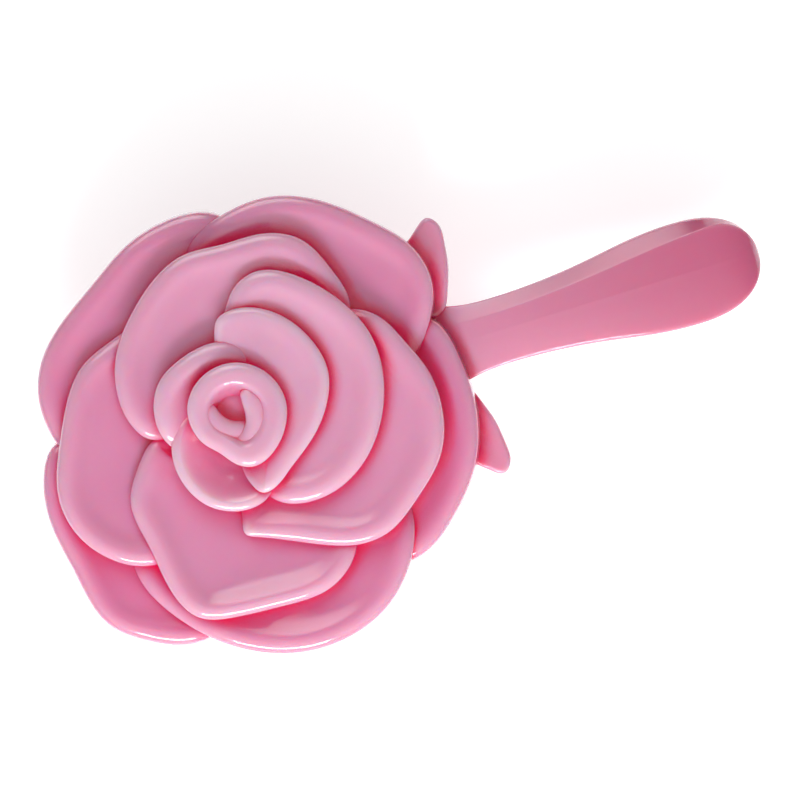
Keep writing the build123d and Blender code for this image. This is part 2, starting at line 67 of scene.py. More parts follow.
# Each petal is the crest of its lip, as angle round the heart, distance from it and height
# above the plate, then the lowest point of its dish, given the same way. The form of the dish
# follows where it isn't even, and the lip's roll, bead and fall where they aren't the usual ones.
PETALS = {
    "outer_south_west": (
        [(173, 50.0, 4.8), (184, 55.2, 5.4), (198, 58.2, 5.7), (207, 60.1, 5.8), (215, 63.3, 5.8),
         (222, 65.2, 5.8), (230, 64.4, 5.8), (240, 62.2, 5.5), (247, 58, 4.8), (250, 42, 3.4),
         (225, 22, 2.8), (185, 30, 2.8)],
        (215, 40, 3.6), "bowl"),
    "outer_north_west": (
        [(72, 47.5, 4.8), (79, 52.9, 5.8), (95, 54.5, 6.2), (107, 53.5, 6.4), (120, 51.7, 6.4),
         (133, 52.3, 6.3), (148, 53.9, 6.2), (158, 53.1, 6.1), (168, 50.2, 5.9), (176, 46.5, 5.4),
         (182, 38, 4.2), (150, 20, 3.2), (85, 24, 3.2)],
        (125, 31, 4.2)),
    "outer_east": (
        [(14, 50, 4.6), (9, 56.9, 5.5), (358, 60.1, 6.0), (345, 62.6, 6.2), (332, 63.8, 6.2),
         (318, 62.7, 6.0), (305, 60.6, 5.6), (296, 54, 4.4), (300, 30, 3.2), (345, 25, 3.2),
         (10, 36, 3.6)],
        (332, 42, 5.2)),
    "outer_north": (
        [(91, 44.9, 6.4), (85, 49.5, 7.0), (77, 53.2, 7.5), (66, 57.7, 7.8), (52, 60.4, 8.0),
         (38, 61.9, 8.1), (27, 63.6, 8.1), (17, 61.5, 7.9), (9, 56, 7.4), (3, 50.5, 6.8),
         (356, 40, 5.2), (10, 22, 4.2), (60, 20, 4.2), (95, 32, 5.0)],
        (48, 36, 5.6)),
    "outer_south": (
        [(214, 45, 6.0), (220.5, 50, 7.0), (231, 54.3, 7.6), (244, 58.6, 8.0), (256, 62.2, 8.2),
         (267, 64.6, 8.3), (279, 65.4, 8.3), (291, 63.9, 8.2), (302, 59.8, 8.0), (312, 54, 7.4),
         (318, 48, 6.4), (318, 36, 5.0), (280, 22, 4.2), (232, 26, 4.6)],
        (262, 46, 4.2)),
    "middle_west": (
        [(124, 36, 8.2), (133, 38.8, 9.2), (146, 43.2, 9.8), (159, 45.4, 10.2), (173, 47.9, 10.4),
         (186, 51.8, 10.5), (198, 53.1, 10.5), (210, 51.3, 10.4), (222, 46.6, 10.0), (229, 41, 9.0),
         (232, 30, 7.4), (200, 15, 6.4), (140, 20, 6.8)],
        (185, 22, 7.4), "bowl"),
    "middle_south": (
        [(179, 22.5, 10.6), (190, 29.5, 11.4), (203, 37, 11.9), (219, 42, 12.1), (231, 49, 12.2),
         (242, 54.4, 12.3), (252, 53.4, 12.3), (266, 51.8, 12.2), (280, 51.8, 12.0),
         (291, 48.8, 11.4), (298, 44, 10.2), (300, 34, 8.8), (270, 17, 7.8), (205, 14, 8.4)],
        (266, 33, 8.7), "bowl"),
    "middle_north_west": (
        [(20, 35, 10.6), (28, 41.5, 12.0), (40, 45.3, 12.6), (54, 49, 13.0), (66, 47.9, 13.1),
         (79, 44.9, 13.0), (92, 44.4, 12.9), (104, 42.2, 12.9), (119, 38.8, 12.9),
         (137, 35.8, 12.9), (155, 32, 12.8), (168, 28.6, 12.6), (178, 24.7, 12.2), (182, 20, 11.2),
         (170, 12, 9.6), (110, 11, 8.8), (45, 17, 8.8)],
        (94, 18, 9.8)),
    "middle_east": (
        [(31, 35, 11.0), (26, 40.8, 12.2), (17, 45.4, 12.8), (7, 47.8, 13.0), (357, 51, 13.2),
         (345, 53.6, 13.3), (332, 54.3, 13.3), (318, 52, 13.3), (304, 50, 13.3), (295, 46.2, 13.2),
         (285, 40.3, 13.1), (270, 34.2, 12.9), (263.8, 32.9, 12.75), (259.4, 32.3, 12.6),
         (256.9, 31.8, 12.5), (255.5, 30.7, 12.4), (255.1, 28.6, 12.2), (254.6, 25, 11.6),
         (252, 18, 9.8), (310, 9, 8.8), (20, 18, 9.2)],
        (294, 22, 10.2)),
    "inner_east": (
        [(85, 23, 13.8), (79.5, 28.5, 15.2), (76, 32.5, 15.8), (66, 37.9, 16.2), (50, 39.6, 16.4),
         (32, 40.2, 16.5), (15, 40.7, 16.5), (357, 39.4, 16.5), (340, 37.5, 16.5),
         (322, 35.3, 16.4), (306, 32.7, 16.3), (292, 29.6, 16.1), (279, 25.6, 15.4),
         (269, 20, 14.0), (250, 9, 12.2), (95, 9, 12.2)],
        (10, 18, 13.8)),
    "inner_south_west": (
        [(154, 11, 14.0), (166, 14.9, 15.6), (184, 18.6, 16.4), (200, 21.2, 16.6),
         (217, 23.5, 16.7), (234, 25.2, 16.7), (250, 25.5, 16.7), (266, 24.4, 16.4),
         (277, 22, 15.2), (286, 13, 13.6), (255, 5, 12.8), (160, 6, 13.2)],
        (238, 13.5, 12.4), "bowl", 2.4, 2.2, 0.6),
    "inner_north_west": (
        [(45, 12, 15.0), (57, 15.4, 16.4), (75, 18.7, 17.0), (91, 19.9, 17.2), (107, 20.5, 17.3),
         (122, 21.2, 17.3), (137, 22.3, 17.3), (152, 22.5, 17.2), (168, 21.8, 16.9),
         (183, 20.4, 16.2), (195, 18, 14.8), (207, 11, 13.8), (215, 5, 13.2), (40, 4, 13.6)],
        (125, 10, 14.6)),
    "inner_south_east": (
        [(96, 16, 14.8), (90, 21.4, 16.2), (86, 25.4, 16.8), (77, 27.5, 17.3), (62, 28.5, 17.8),
         (46, 28.3, 18.2), (28, 27.5, 18.4), (9, 26.3, 18.5), (352, 23.8, 18.6), (334, 21.4, 18.6),
         (315, 19.8, 18.6), (297, 19.8, 18.6), (281, 21.4, 18.5), (271, 21.6, 18.1),
         (264, 18.8, 17.2), (256, 13, 15.6), (245, 6, 14.2), (115, 5, 14.0)],
        (15, 12, 17.4), "even", 2.2, 2.2, 0.4),
}
# The ring round the bud, with its roll, bead and fall, and with the shares of the way in at
# which it starts to drop into the hollow and at which it lands.
BUD_RING = (
    [(155, 13.4, 20.8), (121, 13.7, 21.0), (80, 13.7, 21.2), (40, 13.4, 21.3), (357, 13.1, 21.4),
     (334, 12.9, 21.5), (302, 13.4, 21.6), (268, 14.2, 21.6), (248, 12.7, 21.5),
     (228, 11.2, 21.3), (206, 11.7, 21.0), (180, 12.6, 20.8)],
    (150, 1.6, 16.4), "sheer", 2.8, 3.0, 0.5, (0.17, 0.54))
BUD_ROWS = 56
# The two inner turns of the bud: angle, distance, height of the top and half of the width.
BUD_TURNS = {
    "turn": [(66, 6.2, 20.2, 1.6), (48, 5.6, 20.6, 2.1), (28, 5.0, 20.9, 2.6), (4, 4.8, 21.0, 2.9),
             (338, 4.9, 21.0, 2.9), (314, 5.3, 20.9, 2.7), (291, 5.9, 20.7, 2.4),
             (268, 6.6, 20.3, 2.0), (248, 7.1, 19.8, 1.5), (228, 7.5, 19.2, 1.0),
             (210, 7.8, 18.5, 0.6)],
    "tongue": [(139, 7.8, 19.4, 1.6), (155, 7.5, 20.0, 2.3), (174, 6.8, 20.4, 2.8),
               (198, 5.8, 20.6, 3.0), (230, 4.8, 20.4, 3.0), (268, 4.0, 19.7, 2.5),
               (306, 4.0, 18.7, 1.7)],
}
TURN_FOOT = 9.0             # height above the plate at which the turns end inside the rose
TURN_POINTS, TURN_ARC = 72, 17
TURN_DEPTH = 0.6            # how deep the top of a turn rounds over, as a share of its half width
TURN_SINK = 0.5             # how far it sinks at its ends, as a share of the width lost there
TURN_LEAST = 0.004          # share of an end's circle at which it starts, so that it stays open


def from_heart(angle, distance):
    """X and Y, in millimetres, of points given by angle and distance from the heart."""
    turn = np.radians(angle)
    way = np.stack([np.cos(turn), np.sin(turn)], axis=-1)
    return HEART + way * np.asarray(distance)[..., None]


def smooth_curve(points, samples, closed):
    """A cubic spline through points, with its knots spaced by the chords between them.

    The second derivatives come from the usual tridiagonal system, made cyclic on a closed curve
    and natural on an open one."""
    points = np.asarray(points, float)
    if closed:
        points = np.vstack([points, points[:1]])
    chord = np.linalg.norm(np.diff(points[:, :2], axis=0), axis=1)
    knots = np.concatenate([[0], np.cumsum(chord)])
    slope = np.diff(points, axis=0) / chord[:, None]
    count = len(points)
    system, right = np.eye(count), np.zeros_like(points)
    inner = np.arange(1, count - 1)
    system[inner, inner - 1] = chord[:-1]
    system[inner, inner] = 2 * (chord[:-1] + chord[1:])
    system[inner, inner + 1] = chord[1:]
    right[inner] = 6 * np.diff(slope, axis=0)
    if closed:
        system[0] = 0
        system[0, [0, 1]] = 2 * (chord[0] + chord[-1]), chord[0]
        system[0, count - 2] = chord[-1]
        right[0] = 6 * (slope[0] - slope[-1])
        system[-1, 0] = -1
    bend = np.linalg.solve(system, right)
    where = np.linspace(0, knots[-1], samples, endpoint=not closed)
    span = np.clip(np.searchsorted(knots, where, side="right") - 1, 0, count - 2)
    step, left = chord[span][:, None], (where - knots[span])[:, None]
    rest = step - left
    return ((bend[span] * rest ** 3 + bend[span + 1] * left ** 3) / (6 * step)
            + (points[span] / step - bend[span] * step / 6) * rest
            + (points[span + 1] / step - bend[span + 1] * step / 6) * left)


def mesh_piece(name, points, faces):
    """An object in the scene, at the origin, from points in millimetres and faces."""
    mesh = bpy.data.meshes.new(name)
    mesh.from_pydata((points * MM).tolist(), [], faces)
    piece = bpy.data.objects.new(name, mesh)
    bpy.context.scene.collection.objects.link(piece)
    return piece


def skin(name, rings, start, end):
    """A closed mesh through rings of points, each joined to the next.

    The first and last ring are closed by a fan of triangles to a point."""
    rows, count, _ = rings.shape
    here = np.arange(rows * count).reshape(rows, count)
    beside = np.roll(here, -1, axis=1)
    quads = np.stack([here[:-1], beside[:-1], beside[1:], here[1:]], axis=-1).reshape(-1, 4)
    first = np.stack([beside[0], here[0], np.full(count, rows * count)], axis=-1)
    last = np.stack([here[-1], beside[-1], np.full(count, rows * count + 1)], axis=-1)
    return mesh_piece(name, np.vstack([rings.reshape(-1, 3), start, end]),
                      quads.tolist() + first.tolist() + last.tolist())


def smoothstep(share):
    """3 s^2 - 2 s^3: a rise from 0 to 1 that starts and ends level."""
    return share ** 2 * (3 - 2 * share)


def roll_width(along, widest):
    """Width of the lip's roll all round, which narrows where the outline turns tightly.

    It is the least of the widest roll and a share of the bend's radius within a few points on
    each side, then a running mean over as many."""
    heading = np.unwrap(np.arctan2(along[:, 1], along[:, 0]))
    bend = (np.roll(heading, -1) - np.roll(heading, 1) + np.pi) % (2 * np.pi) - np.pi
    tightest = TIP_BEND * np.linalg.norm(along, axis=1) / np.maximum(bend, 1e-3)
    near = (np.arange(AROUND)[:, None] + np.arange(-TIP_REACH, TIP_REACH + 1)) % AROUND
    return np.minimum(widest, tightest)[near].min(axis=1)[near].mean(axis=1)


def softened(outline):
    """A closed outline smoothed along itself by a Gaussian, as a product of Fourier series."""
    waves = np.fft.rfftfreq(AROUND)[:, None]
    series = np.fft.rfft(outline, axis=0) * np.exp(-2 * (np.pi * waves * TIP_SOFTNESS) ** 2)
    return np.fft.irfft(series, AROUND, axis=0)


def soft_distance(points, lip):
    """Distance to the lip as a soft minimum: -k log(sum of exp(-distance / k) / 2k).

    The sum runs over the lip's length, and k is the distance over which lips blend."""
    lip_step = np.linalg.norm(np.roll(lip, -1, axis=0) - lip, axis=1)
    away = np.linalg.norm(points[:, :, None] - lip, axis=-1)
    return -LIP_BLEND * np.log(np.exp(-away / LIP_BLEND) @ lip_step / (2 * LIP_BLEND))


def leaf(name, crest, lowest, base_z, form, roll, bead, fall, brink=(0, 1),
         draft=WALL_DRAFT, rows=DISH_ROWS):
    """A petal or sepal as a polar grid round its lowest point.

    From foot to middle: a drafted wall, then a quarter ellipse over the outer side of the lip,
    then a dish, which is a fall between two shares of the way in, the brink, less a bell curve
    of the distance to the lip. An even fall is a smoothstep, a bowl a quarter sine, and a sheer
    one a quarter cosine that ends in a crease. On the way in, the outline turns into the
    softened one, so that a tip leaves no crease."""
    rim = smooth_curve(crest, AROUND, closed=True)
    x, y = rim[:, 0], rim[:, 1]
    if np.sum(x * np.roll(y, -1) - y * np.roll(x, -1)) < 0:
        rim = rim[::-1]
    along = np.roll(rim, -1, axis=0)[:, :2] - np.roll(rim, 1, axis=0)[:, :2]
    inward = np.stack([-along[:, 1], along[:, 0]], axis=1)
    inward = inward / np.linalg.norm(along, axis=1)[:, None]
    height = rim[:, 2]
    roll = roll_width(along, roll)
    wall = np.linspace(0, 1, WALL_ROWS)[:, None]
    over = np.radians(np.linspace(0, 90, ROLL_ROWS))[1:, None]
    inset = np.vstack([-draft * (1 - wall) + 0 * height, roll * (1 - np.cos(over))])
    level = np.vstack([wall * (height - ROLL_DEPTH * roll),
                       height - ROLL_DEPTH * roll * (1 - np.sin(over))])
    plan = rim[None, :, :2] + inward[None] * inset[..., None]
    lip, middle = plan[-1], np.asarray(lowest[:2])
    share = (np.linspace(0, 1, rows)[1:-1] ** ROW_CROWDING)[:, None]
    outline = lip + (softened(lip) - lip) * smoothstep(np.clip(share / SOFT_BY, 0, 1))[..., None]
    within = outline + (middle - outline) * share[..., None]
    bell = 1 - np.exp(-(np.maximum(soft_distance(within, lip), 0) / bead) ** 2)
    fallen = np.clip((share - brink[0]) / (brink[1] - brink[0]), 0, 1)
    fallen = {"even": smoothstep(fallen), "bowl": np.sin(np.pi / 2 * fallen),
              "sheer": 1 - np.cos(np.pi / 2 * fallen)}[form]
    dish = height - fall * bell - (height - fall - lowest[2]) * fallen
    rings = np.concatenate([np.concatenate([plan, within]),
                            base_z + np.vstack([level, dish])[..., None]], axis=-1)
    return skin(name, rings, (*middle, base_z), (*middle, base_z + lowest[2]))


def curl(name, course, base_z):
    """A turn of the bud: a wall with a rounded top, carried along a curve.

    At both ends the half width follows a circle as wide as the wall, so that they are round."""
    course = np.asarray(course, float)
    line = np.column_stack([from_heart(course[:, 0], course[:, 1]), course[:, 2:]])
    line = smooth_curve(line, TURN_POINTS, closed=False)
    along = np.gradient(line[:, :2], axis=0)
    run = np.concatenate([[0], np.cumsum(np.linalg.norm(np.diff(line[:, :2], axis=0), axis=1))])
    to_end = np.minimum(run, run[-1] - run)
    full = line[:, 3]
    half = full * np.sqrt(1 - (1 - np.clip(to_end / full, TURN_LEAST, 1)) ** 2)
    across = np.stack([along[:, 1], -along[:, 0]], axis=1) / np.linalg.norm(along, axis=1)[:, None]
    arc = np.radians(np.linspace(0, 180, TURN_ARC))
    side = np.concatenate([[1], np.cos(arc), [-1]])
    drop = np.concatenate([[0], np.sin(arc) - 1, [0]])
    plan = line[:, None, :2] + across[:, None] * (half[:, None] * side)[..., None]
    top = base_z + line[:, None, 2] - TURN_SINK * (full - half)[:, None]
    level = top + half[:, None] * drop * TURN_DEPTH
    level[:, [0, -1]] = base_z + TURN_FOOT
    rings = np.concatenate([plan, level[..., None]], axis=-1)
    return skin(name, rings, rings[0].mean(axis=0), rings[-1].mean(axis=0))


def recalculated(piece):
    """Turn all faces of a closed mesh outwards."""
    build = bmesh.new()
    build.from_mesh(piece.data)
    bmesh.ops.recalc_face_normals(build, faces=build.faces)
    build.to_mesh(piece.data)
    build.free()
    return piece


def united(pieces, name):
    """One skin from several closed ones: each is joined to the first by a boolean union."""
    whole = pieces[0]
    for part in pieces[1:]:
        joint = whole.modifiers.new("join", "BOOLEAN")
        joint.operation, joint.solver, joint.object = "UNION", "MANIFOLD", part
        joined = whole.evaluated_get(bpy.context.evaluated_depsgraph_get())
        shape = bpy.data.meshes.new_from_object(joined)
        whole.modifiers.clear()
        shape.materials.clear()
        whole.data = shape
        bpy.data.objects.remove(part)
    whole.name = whole.data.name = name
    return whole


def polished(piece, crease_degrees=38):
    """Smooth shading that keeps an edge wherever two faces meet at more than the crease angle."""
    piece.data.shade_smooth()
    piece.data.set_sharp_from_angle(angle=np.radians(crease_degrees))
    return piece


def petal(name, crest, lowest, form="even", roll=LIP_ROLL, bead=LIP_BEAD, fall=LIP_FALL, **dish):
    """A petal of the rose from its rows of angle, distance and height."""
    crest = np.asarray(crest, float)
    rim = np.column_stack([from_heart(crest[:, 0], crest[:, 1]), crest[:, 2]])
    low = (*from_heart(*lowest[:2]), lowest[2])
    return leaf(name, rim, low, PLATE_Z, form, roll, bead, fall, **dish)


petals = [petal(name, *shape) for name, shape in PETALS.items()]
petals.append(petal("bud_ring", *BUD_RING[:-1], brink=BUD_RING[-1], rows=BUD_ROWS))
petals += [recalculated(curl(name, course, PLATE_Z)) for name, course in BUD_TURNS.items()]
rose = polished(united(petals, "rose"))


def colour(hex_value):
    """Linear RGBA of an sRGB hex value."""
    srgb = np.array([int(hex_value[i:i + 2], 16) for i in (0, 2, 4)]) / 255
    linear = np.where(srgb <= 0.04045, srgb / 12.92, ((srgb + 0.055) / 1.055) ** 2.4)
    return (*linear, 1.0)


def add(tree, kind, links=(), **settings):
    """Add one shader node.

    Settings are its options, and links its inputs as {name or number: value or socket}."""
    node = tree.nodes.new(kind)
    for option, value in settings.items():
        setattr(node, option, value)
    for place, value in dict(links).items():
        if isinstance(value, bpy.types.NodeSocket):
            tree.links.new(value, node.inputs[place])
        else:
            node.inputs[place].default_value = value
    return node


def emptied_tree(owner):
    """Switch a material or world to nodes and return its node tree, emptied."""
    owner.use_nodes = True
    owner.node_tree.nodes.clear()
    return owner.node_tree


def painted_shade(tree, tint, lean, reach, samples, shut, clear, shade_colour):
    """The tint, with a painted shade of deep pink where the surface is closed in on one side.

    Ambient occlusion is taken round the face's normal plus a lean that is fixed in the object, so
    the painted shade falls on one side of each wall, like a painted shadow.
    A smoothstep between the shares of sky that count as shut and as clear mixes the pinks."""
    face = add(tree, "ShaderNodeNewGeometry").outputs["Normal"]
    leant = add(tree, "ShaderNodeVectorMath", {0: face, 1: lean}).outputs[0]
    leant = add(tree, "ShaderNodeVectorMath", {0: leant}, operation="NORMALIZE").outputs[0]
    sky = add(tree, "ShaderNodeAmbientOcclusion", {"Distance": reach * MM, "Normal": leant},
              samples=samples).outputs["AO"]
    sky = add(tree, "ShaderNodeMapRange", {0: sky, 1: shut, 2: clear},
              interpolation_type="SMOOTHSTEP").outputs[0]
    return add(tree, "ShaderNodeMix", {0: sky, 6: colour(shade_colour), 7: tint},
               data_type="RGBA").outputs[2]


# For each painted shade: the lean, how far it looks in mm, samples, the shares of sky that count as
# shut and as clear, and the colour. Wide hollows below a petal get a painted deep pink shade,
# narrow folds a painted crimson shade.
PAINTED_HOLLOW_SHADE = ((0.20, 1.20, 0.30), 10, 12, 0.26, 0.80, "E2508A")
PAINTED_FOLD_SHADE = ((-0.86, -0.36, 0.45), 4.6, 8, 0.42, 0.80, "FA1464")
# Near-white pink of the painted pale highlight on thin walls and rims.
PAINTED_EDGE_HIGHLIGHT = "FFE8F0"
THIN_FROM, THIN_TO = 0.48, 0.98     # occlusion seen from inside on a thin and on a thick wall
PEEL_MM, PEEL_DEPTH = 2.5, 0.05     # width of the orange peel's swell, and its height


def moulded_abs(name, axis, start, stop, first_colour, last_colour, thin):
    """Pink ABS, moulded against a polished tool: glossy, and a little translucent.

    Narrow folds get a painted crimson shade and hollows a painted deeper pink shade, while walls
    thinner than the given size get a painted pale highlight. The pink changes along one axis, paler
    at one end, as a painted sheen. A faint orange peel bends the highlights."""
    material = bpy.data.materials.new(name)
    tree = emptied_tree(material)
    place = add(tree, "ShaderNodeTexCoord").outputs["Object"]
    # The pink runs from the first to the last colour along one axis; on the rose and the handle
    # this is a painted sheen.
    along = add(tree, "ShaderNodeSeparateXYZ", {0: place}).outputs[axis]
    share = add(tree, "ShaderNodeMapRange", {0: along, 1: start * MM, 2: stop * MM}).outputs[0]
    pink = add(tree, "ShaderNodeMix", {0: share, 6: colour(first_colour), 7: colour(last_colour)},
               data_type="RGBA").outputs[2]
    # Painted pale highlight: the thinner the wall, as seen by occlusion from inside, the more the
    # pink is mixed towards a near-white.
    thick = add(tree, "ShaderNodeAmbientOcclusion", {"Distance": thin * MM}, samples=8,
                inside=True).outputs["AO"]
    thick = add(tree, "ShaderNodeMapRange", {0: thick, 1: THIN_FROM, 2: THIN_TO},
                interpolation_type="SMOOTHSTEP").outputs[0]
    face = add(tree, "ShaderNodeMix", {0: thick, 6: colour(PAINTED_EDGE_HIGHLIGHT), 7: pink},
               data_type="RGBA").outputs[2]
    # Painted shade: a deep pink in hollows and a crimson in folds, each leant to one side like a
    # painted shadow.
    tint = painted_shade(tree, painted_shade(tree, face, *PAINTED_HOLLOW_SHADE), *PAINTED_FOLD_SHADE)
    swell = add(tree, "ShaderNodeTexNoise",
                {"Vector": place, "Scale": 1 / (PEEL_MM * MM), "Detail": 1.0}).outputs[0]
    bump = add(tree, "ShaderNodeBump",
               {"Height": swell, "Strength": 0.06, "Distance": PEEL_DEPTH * MM}).outputs[0]
    gloss = add(tree, "ShaderNodeMapRange", {0: swell, 3: 0.10, 4: 0.16}).outputs[0]
    shader = add(tree, "ShaderNodeBsdfPrincipled", {
        "Base Color": tint, "Roughness": gloss, "IOR": 1.54, "Normal": bump,
        "Subsurface Weight": 1.0, "Subsurface Radius": (1.0, 0.13, 0.22),
        "Subsurface Scale": 5 * MM, "Coat Weight": 1.0, "Coat Roughness": 0.05, "Coat IOR": 1.5})
    add(tree, "ShaderNodeOutputMaterial", {"Surface": shader.outputs[0]})
    return material


# The rose is paler towards its top: a painted sheen.
rose.data.materials.append(moulded_abs(
    "polished pink ABS, rose", "Z", start=PLATE_Z + 5, stop=PLATE_Z + 18,
    first_colour="E98EBA", last_colour="F4B8D6", thin=3.8))
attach(rose, "brush_body")
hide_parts("rose_cover")

# ---------------------------------------------------------------------------------------------
# Front moulding: the round head plate, the front half of the handle and the two sepals that
# stick out beside the neck, all one piece of the same ABS. The handle's face dips under the
# rose, with a flat bevel along one side of it and a soft rounding along the other.
# ---------------------------------------------------------------------------------------------
HEAD_R = 50.0
HUB_R = 1.0                 # innermost ring of a turned face, closed by a fan on the axis
SEAM_Z = 28.0
SEAM_GROOVE = 0.25          # depth of the parting groove
GROOVE_RISE = 0.3           # how far it opens up the edge of the head
GROOVE_REACH = 0.22         # and up the side of the handle
PLATE_EDGE = 0.8            # chamfer of the plate's edge
EDGE_EASE = 0.6             # how far before a corner its rounding starts
HANDLE_TIP_X = 137.2
# The handle's outline as X and half width, and its crest as X and height over the seam.
HANDLE_SIDE = [(40.0, 14.6), (50.0, 11.4), (56.0, 9.8), (68.0, 9.0), (80.0, 9.6), (92.0, 11.0),
               (104.0, 12.9), (117.0, 13.8), (127.0, 12.5), (134.0, 8.2)]
HANDLE_CREST = [(38.0, 2.6), (56.0, 3.4), (68.0, 5.4), (80.0, 6.5), (95.0, 7.1), (120.0, 7.0),
                (HANDLE_TIP_X, 6.6)]
SIDE_POINTS = 181           # points along one side of the handle
FRONT_FROM_X = 42.0         # where its front half starts, inside the head
END_FROM_X = 120.0          # where its end starts to round down
END_POWER, END_ROOT = 3.4, 0.42     # exponents of that rounding
THINNEST = 0.02             # least half width at the tip, so that no face collapses
# The bevel's upper edge as X, share of the half width and share of the crest's height. The
# other points of the front's section are the same two shares.
SHOULDER = [(38, 0.50, 0.985), (60, 0.52, 0.98), (72, 0.55, 0.975), (86, 0.59, 0.965),
            (104, 0.62, 0.96), (115, 0.67, 0.96), (125, 0.77, 0.96), (131, 0.88, 0.96),
            (138, 0.94, 0.96)]
UPRIGHT = [(1, 0), (1, 0.25), (1, 0.45)]
BEVEL_FOOT = (0.97, 0.60)
BEVEL_ROWS = (0.0, 0.12, 0.90, 1.0)     # shares of the way from the foot up to the shoulder
FACE_EDGE = (-0.03, 0.006)              # from the shoulder to the first point of the face
FACE_HALFWAY = (0.5, 0.4)               # shares of the shoulder kept half way over the face
SOFT_SIDE = [(1.0, 0.0), (1.0, 0.45), (0.998, 0.66), (0.985, 0.80), (0.90, 0.865), (0.65, 0.925),
             (0.35, 0.975), (0.0, 1.0)]
# A sepal's outline as X and distance from the handle's middle line.
SEPAL = [(53.0, 10.6), (55.4, 15.0), (57.4, 21.0), (58.4, 28.0), (57.9, 33.4), (55.8, 35.2),
         (52.4, 33.4), (47.0, 28.6), (43.0, 20.0), (44.0, 10.6)]
SEPAL_SPINE = (52.5, 23.0)
SEPAL_HEIGHT = 2.9
SEPAL_DISH = 0.5
SEPAL_SHIFT_Y = -1.1


def turned(name, profile, around=192):
    """A body turned about the head's axis from its (radius, height) profile.

    Both ends of the profile are closed on the axis."""
    radius, level = np.asarray(profile, float).T
    turn = np.linspace(0, 2 * np.pi, around, endpoint=False)
    rings = np.stack([radius[:, None] * np.cos(turn), radius[:, None] * np.sin(turn),
                      np.broadcast_to(level[:, None], (len(radius), around))], axis=-1)
    return skin(name, rings, (0, 0, level[0]), (0, 0, level[-1]))


def eased(corners, radius, steps=5):
    """A polyline with each inner corner replaced by a parabola.

    It starts the given radius before the corner, or a little under half way on a short side."""
    corners = np.asarray(corners, float)
    points = [corners[0]]
    for before, corner, after in zip(corners, corners[1:], corners[2:]):
        toward, away = before - corner, after - corner
        reach = min(radius, 0.45 * np.linalg.norm(toward), 0.45 * np.linalg.norm(away))
        start = corner + toward / np.linalg.norm(toward) * reach
        stop = corner + away / np.linalg.norm(away) * reach
        share = np.linspace(0, 1, steps)[:, None]
        points += list((1 - share) ** 2 * start + 2 * share * (1 - share) * corner
                       + share ** 2 * stop)
    return np.array(points + [corners[-1]])


def corners_cut(points, times=3):
    """Rounding along the second axis: each corner becomes points at a quarter of its two sides."""
    for _ in range(times):
        near, far = points[:, :-1], points[:, 1:]
        cut = np.stack([0.75 * near + 0.25 * far, 0.25 * near + 0.75 * far], axis=2)
        cut = cut.reshape(len(points), -1, 2)
        points = np.concatenate([points[:, :1], cut, points[:, -1:]], axis=1)
    return points


def handle_half(name, crest, left, right, upward, first_x):
    """Half of the handle as cross-sections along it.

    Each side of a section is a share of the half width against a share of the crest's height,
    as left(x) and right(x) give it for every x at once. Near the tip the height sinks as a
    superellipse, and at the seam a bell curve takes the groove off the half width."""
    side = HANDLE_SIDE + [(HANDLE_TIP_X, 0.0)] + [(x, -half) for x, half in HANDLE_SIDE[::-1]]
    outline = smooth_curve(side, 2 * SIDE_POINTS - 1, closed=False)[:SIDE_POINTS]
    outline[-1] = HANDLE_TIP_X, 0.0
    outline = outline[outline[:, 0] > first_x]
    x, half = outline.T
    half = np.maximum(half, THINNEST)
    tall = smooth_curve(crest, samples=400, closed=False)
    tall = np.interp(x, tall[:, 0], tall[:, 1])
    past = np.clip((x - END_FROM_X) / (HANDLE_TIP_X - END_FROM_X), 0, 1)
    tall = tall * (1 - past ** END_POWER) ** END_ROOT
    left, right = corners_cut(left(x)), corners_cut(right(x))
    form = np.concatenate([left, right[:, -2::-1] * (-1, 1)], axis=1)
    groove = np.exp(-((form[..., 1] * tall[:, None]) / GROOVE_REACH) ** 2) * SEAM_GROOVE
    width = form[..., 0] * np.maximum(half[:, None] - groove, THINNEST / 2)
    level = SEAM_Z + upward * form[..., 1] * tall[:, None]
    rings = np.stack([np.broadcast_to(x[:, None], width.shape), width, level], axis=-1)
    return recalculated(skin(name, rings, rings[0].mean(axis=0), rings[-1].mean(axis=0)))


def shouldered(x):
    """Section of the front: an upright side, a flat bevel up to the shoulder, a crowned face."""
    line = smooth_curve(SHOULDER, samples=200, closed=False)
    shoulder = np.stack([np.interp(x, line[:, 0], line[:, column]) for column in (1, 2)], axis=-1)
    foot = np.array(BEVEL_FOOT)
    upright = [np.broadcast_to(point, shoulder.shape) for point in UPRIGHT]
    bevel = [foot + (shoulder - foot) * share for share in BEVEL_ROWS]
    face = [shoulder + FACE_EDGE, shoulder * FACE_HALFWAY + (0, 1 - FACE_HALFWAY[1]),
            0 * shoulder + (0, 1)]
    return np.stack(upright + bevel + face, axis=1)


def rounded(form):
    """Section that keeps one form all along."""
    return lambda x: np.broadcast_to(np.asarray(form), (len(x), len(form), 2))


def sepal(name, side):
    """A pointed leaf beside the neck, slightly dished behind a soft lip."""
    crest = [(x, side * y + SEPAL_SHIFT_Y, SEPAL_HEIGHT) for x, y in SEPAL]
    low = (SEPAL_SPINE[0], side * SEPAL_SPINE[1] + SEPAL_SHIFT_Y, SEPAL_HEIGHT - SEPAL_DISH)
    return leaf(name, crest, low, SEAM_Z, "even", roll=1.3, bead=2.0, fall=0.15, draft=0.2)


